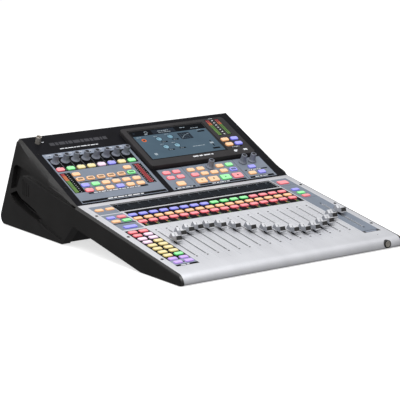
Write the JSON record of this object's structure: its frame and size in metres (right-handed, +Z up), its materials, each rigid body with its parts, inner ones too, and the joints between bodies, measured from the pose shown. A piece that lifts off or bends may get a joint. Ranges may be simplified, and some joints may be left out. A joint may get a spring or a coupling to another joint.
{
  "type": "mixing console",
  "caption": "Digital mixing console: sloped silver fader panel, steeper black panel with rotary encoders, lit keys and touchscreen, and moulded side cheeks.",
  "frame": {"origin": "centre of the footprint, on the surface that the console stands on", "axes": "+X is the operator's right, +Y points away from the operator, +Z is up"},
  "size_m": [0.44, 0.5721, 0.1665],
  "materials": {
    "silver_panel": "fine satin silver coat",
    "black_panel": "fine matt black powder coat",
    "black_steel": "matt black powder coat",
    "cheek_plastic": "fine moulded texture",
    "bezel_plastic": "satin dark warm grey",
    "display_glass": "polished cover glass over a lit display",
    "nickel": "polished nickel plate",
    "socket_plastic": "satin black moulding",
    "zinc_shell": "plain satin metal",
    "circuit_board": "green solder mask",
    "foot_rubber": "matt black rubber",
    "fader_cap": "satin silver with a black front",
    "knob_plastic": "grey soft touch with moulded ribs",
    "key_silicone": "translucent silicone lit from inside"
  },
  "bodies": {
    "console": {"fader_panel": "silver_panel", "upper_panel": "black_panel", "rear_panel": "black_steel", "chassis_tray": "black_steel", "right_cheek": "cheek_plastic", "left_cheek": "cheek_plastic", "channel_display_strip": "display_glass", "screen_bezel": "bezel_plastic", "touchscreen": "display_glass", "lamp_socket": "nickel", "headphone_jack": "socket_plastic", "input_sockets": "socket_plastic", "output_sockets": "socket_plastic", "digital_ports": "zinc_shell", "power_inlet": "socket_plastic", "fader_board": "circuit_board", "main_board": "circuit_board", "power_supply": "zinc_shell", "front_foot_strip": "foot_rubber", "rear_foot_strip": "foot_rubber"},
    "fader_1": {"fader_1": "fader_cap"},
    "fader_2": {"fader_2": "fader_cap"},
    "fader_3": {"fader_3": "fader_cap"},
    "fader_4": {"fader_4": "fader_cap"},
    "fader_5": {"fader_5": "fader_cap"},
    "fader_6": {"fader_6": "fader_cap"},
    "fader_7": {"fader_7": "fader_cap"},
    "fader_8": {"fader_8": "fader_cap"},
    "fader_9": {"fader_9": "fader_cap"},
    "fader_10": {"fader_10": "fader_cap"},
    "fader_11": {"fader_11": "fader_cap"},
    "fader_12": {"fader_12": "fader_cap"},
    "fader_13": {"fader_13": "fader_cap"},
    "fader_14": {"fader_14": "fader_cap"},
    "fader_15": {"fader_15": "fader_cap"},
    "fader_16": {"fader_16": "fader_cap"},
    "main_fader": {"main_fader": "fader_cap"},
    "encoder_1": {"encoder_1": "knob_plastic"},
    "encoder_2": {"encoder_2": "knob_plastic"},
    "encoder_3": {"encoder_3": "knob_plastic"},
    "encoder_4": {"encoder_4": "knob_plastic"},
    "encoder_5": {"encoder_5": "knob_plastic"},
    "encoder_6": {"encoder_6": "knob_plastic"},
    "encoder_7": {"encoder_7": "knob_plastic"},
    "encoder_8": {"encoder_8": "knob_plastic"},
    "session_encoder": {"session_encoder": "knob_plastic"},
    "monitor_level_knob": {"monitor_level_knob": "knob_plastic"},
    "phones_level_knob": {"phones_level_knob": "knob_plastic"},
    "select_keys": {"select_keys": "key_silicone"},
    "solo_keys": {"solo_keys": "key_silicone"},
    "mute_keys": {"mute_keys": "key_silicone"},
    "layer_keys": {"layer_keys": "key_silicone"},
    "main_keys": {"main_keys": "key_silicone"},
    "parameter_keys": {"parameter_keys": "key_silicone"},
    "processing_keys": {"processing_keys": "key_silicone"},
    "session_keys": {"session_keys": "key_silicone"},
    "transport_keys": {"transport_keys": "key_silicone"},
    "monitor_keys": {"monitor_keys": "key_silicone"},
    "screen_keys": {"screen_keys": "key_silicone"},
    "power_rocker": {"power_rocker": "socket_plastic"}
  },
  "joints": [
    {"name": "fader_1_slide", "type": "slide", "parent": "console", "child": "fader_1", "axis": [0, 0.9842, 0.1771], "range_m": [-0.0524, 0.0476]},
    {"name": "fader_2_slide", "type": "slide", "parent": "console", "child": "fader_2", "axis": [0, 0.9842, 0.1771], "range_m": [-0.0694, 0.0306]},
    {"name": "fader_3_slide", "type": "slide", "parent": "console", "child": "fader_3", "axis": [0, 0.9842, 0.1771], "range_m": [-0.0774, 0.0226]},
    {"name": "fader_4_slide", "type": "slide", "parent": "console", "child": "fader_4", "axis": [0, 0.9842, 0.1771], "range_m": [-0.0814, 0.0186]},
    {"name": "fader_5_slide", "type": "slide", "parent": "console", "child": "fader_5", "axis": [0, 0.9842, 0.1771], "range_m": [-0.0794, 0.0206]},
    {"name": "fader_6_slide", "type": "slide", "parent": "console", "child": "fader_6", "axis": [0, 0.9842, 0.1771], "range_m": [-0.0744, 0.0256]},
    {"name": "fader_7_slide", "type": "slide", "parent": "console", "child": "fader_7", "axis": [0, 0.9842, 0.1771], "range_m": [-0.0624, 0.0376]},
    {"name": "fader_8_slide", "type": "slide", "parent": "console", "child": "fader_8", "axis": [0, 0.9842, 0.1771], "range_m": [-0.0474, 0.0526]},
    {"name": "fader_9_slide", "type": "slide", "parent": "console", "child": "fader_9", "axis": [0, 0.9842, 0.1771], "range_m": [-0.0324, 0.0676]},
    {"name": "fader_10_slide", "type": "slide", "parent": "console", "child": "fader_10", "axis": [0, 0.9842, 0.1771], "range_m": [-0.0234, 0.0766]},
    {"name": "fader_11_slide", "type": "slide", "parent": "console", "child": "fader_11", "axis": [0, 0.9842, 0.1771], "range_m": [-0.0124, 0.0876]},
    {"name": "fader_12_slide", "type": "slide", "parent": "console", "child": "fader_12", "axis": [0, 0.9842, 0.1771], "range_m": [-0.0084, 0.0916]},
    {"name": "fader_13_slide", "type": "slide", "parent": "console", "child": "fader_13", "axis": [0, 0.9842, 0.1771], "range_m": [-0.0084, 0.0916]},
    {"name": "fader_14_slide", "type": "slide", "parent": "console", "child": "fader_14", "axis": [0, 0.9842, 0.1771], "range_m": [-0.0164, 0.0836]},
    {"name": "fader_15_slide", "type": "slide", "parent": "console", "child": "fader_15", "axis": [0, 0.9842, 0.1771], "range_m": [-0.0244, 0.0756]},
    {"name": "fader_16_slide", "type": "slide", "parent": "console", "child": "fader_16", "axis": [0, 0.9842, 0.1771], "range_m": [-0.0414, 0.0586]},
    {"name": "main_fader_slide", "type": "slide", "parent": "console", "child": "main_fader", "axis": [0, 0.9842, 0.1771], "range_m": [-0.0564, 0.0436]},
    {"name": "encoder_1_turn", "type": "hinge", "parent": "console", "child": "encoder_1", "pos_m": [-0.1905, 0.14028, 0.12608], "axis": [0, 0.4274, -0.9041], "continuous": true},
    {"name": "encoder_2_turn", "type": "hinge", "parent": "console", "child": "encoder_2", "pos_m": [-0.1703, 0.14028, 0.12608], "axis": [0, 0.4274, -0.9041], "continuous": true},
    {"name": "encoder_3_turn", "type": "hinge", "parent": "console", "child": "encoder_3", "pos_m": [-0.1501, 0.14028, 0.12608], "axis": [0, 0.4274, -0.9041], "continuous": true},
    {"name": "encoder_4_turn", "type": "hinge", "parent": "console", "child": "encoder_4", "pos_m": [-0.1299, 0.14028, 0.12608], "axis": [0, 0.4274, -0.9041], "continuous": true},
    {"name": "encoder_5_turn", "type": "hinge", "parent": "console", "child": "encoder_5", "pos_m": [-0.1097, 0.14028, 0.12608], "axis": [0, 0.4274, -0.9041], "continuous": true},
    {"name": "encoder_6_turn", "type": "hinge", "parent": "console", "child": "encoder_6", "pos_m": [-0.0895, 0.14028, 0.12608], "axis": [0, 0.4274, -0.9041], "continuous": true},
    {"name": "encoder_7_turn", "type": "hinge", "parent": "console", "child": "encoder_7", "pos_m": [-0.0693, 0.14028, 0.12608], "axis": [0, 0.4274, -0.9041], "continuous": true},
    {"name": "encoder_8_turn", "type": "hinge", "parent": "console", "child": "encoder_8", "pos_m": [-0.0491, 0.14028, 0.12608], "axis": [0, 0.4274, -0.9041], "continuous": true},
    {"name": "session_encoder_turn", "type": "hinge", "parent": "console", "child": "session_encoder", "pos_m": [0.0826, 0.07537, 0.09539], "axis": [0, 0.4274, -0.9041], "continuous": true},
    {"name": "monitor_level_knob_turn", "type": "hinge", "parent": "console", "child": "monitor_level_knob", "pos_m": [0.153, 0.07609, 0.09574], "axis": [0, 0.4274, -0.9041], "range_deg": [-150, 150]},
    {"name": "phones_level_knob_turn", "type": "hinge", "parent": "console", "child": "phones_level_knob", "pos_m": [0.1732, 0.07609, 0.09574], "axis": [0, 0.4274, -0.9041], "range_deg": [-150, 150]},
    {"name": "select_keys_press", "type": "slide", "parent": "console", "child": "select_keys", "axis": [0, 0.1771, -0.9842], "range_m": [0, 0.001], "stiffness_N_per_m": 1200, "springref_m": -0.0005},
    {"name": "solo_keys_press", "type": "slide", "parent": "console", "child": "solo_keys", "axis": [0, 0.1771, -0.9842], "range_m": [0, 0.001], "stiffness_N_per_m": 1200, "springref_m": -0.0005},
    {"name": "mute_keys_press", "type": "slide", "parent": "console", "child": "mute_keys", "axis": [0, 0.1771, -0.9842], "range_m": [0, 0.001], "stiffness_N_per_m": 1200, "springref_m": -0.0005},
    {"name": "layer_keys_press", "type": "slide", "parent": "console", "child": "layer_keys", "axis": [0, 0.1771, -0.9842], "range_m": [0, 0.001], "stiffness_N_per_m": 1200, "springref_m": -0.0005},
    {"name": "main_keys_press", "type": "slide", "parent": "console", "child": "main_keys", "axis": [0, 0.1771, -0.9842], "range_m": [0, 0.001], "stiffness_N_per_m": 1200, "springref_m": -0.0005},
    {"name": "parameter_keys_press", "type": "slide", "parent": "console", "child": "parameter_keys", "axis": [0, 0.4274, -0.9041], "range_m": [0, 0.001], "stiffness_N_per_m": 1200, "springref_m": -0.0005},
    {"name": "processing_keys_press", "type": "slide", "parent": "console", "child": "processing_keys", "axis": [0, 0.4274, -0.9041], "range_m": [0, 0.001], "stiffness_N_per_m": 1200, "springref_m": -0.0005},
    {"name": "session_keys_press", "type": "slide", "parent": "console", "child": "session_keys", "axis": [0, 0.4274, -0.9041], "range_m": [0, 0.001], "stiffness_N_per_m": 1200, "springref_m": -0.0005},
    {"name": "transport_keys_press", "type": "slide", "parent": "console", "child": "transport_keys", "axis": [0, 0.4274, -0.9041], "range_m": [0, 0.001], "stiffness_N_per_m": 1200, "springref_m": -0.0005},
    {"name": "monitor_keys_press", "type": "slide", "parent": "console", "child": "monitor_keys", "axis": [0, 0.4274, -0.9041], "range_m": [0, 0.001], "stiffness_N_per_m": 1200, "springref_m": -0.0005},
    {"name": "screen_keys_press", "type": "slide", "parent": "console", "child": "screen_keys", "axis": [0, 0.4274, -0.9041], "range_m": [0, 0.001], "stiffness_N_per_m": 1200, "springref_m": -0.0005},
    {"name": "power_rocker_tilt", "type": "hinge", "parent": "console", "child": "power_rocker", "pos_m": [0.163, 0.2711, 0.04191], "axis": [-1, 0, 0], "range_deg": [0, 14]}
  ]
}
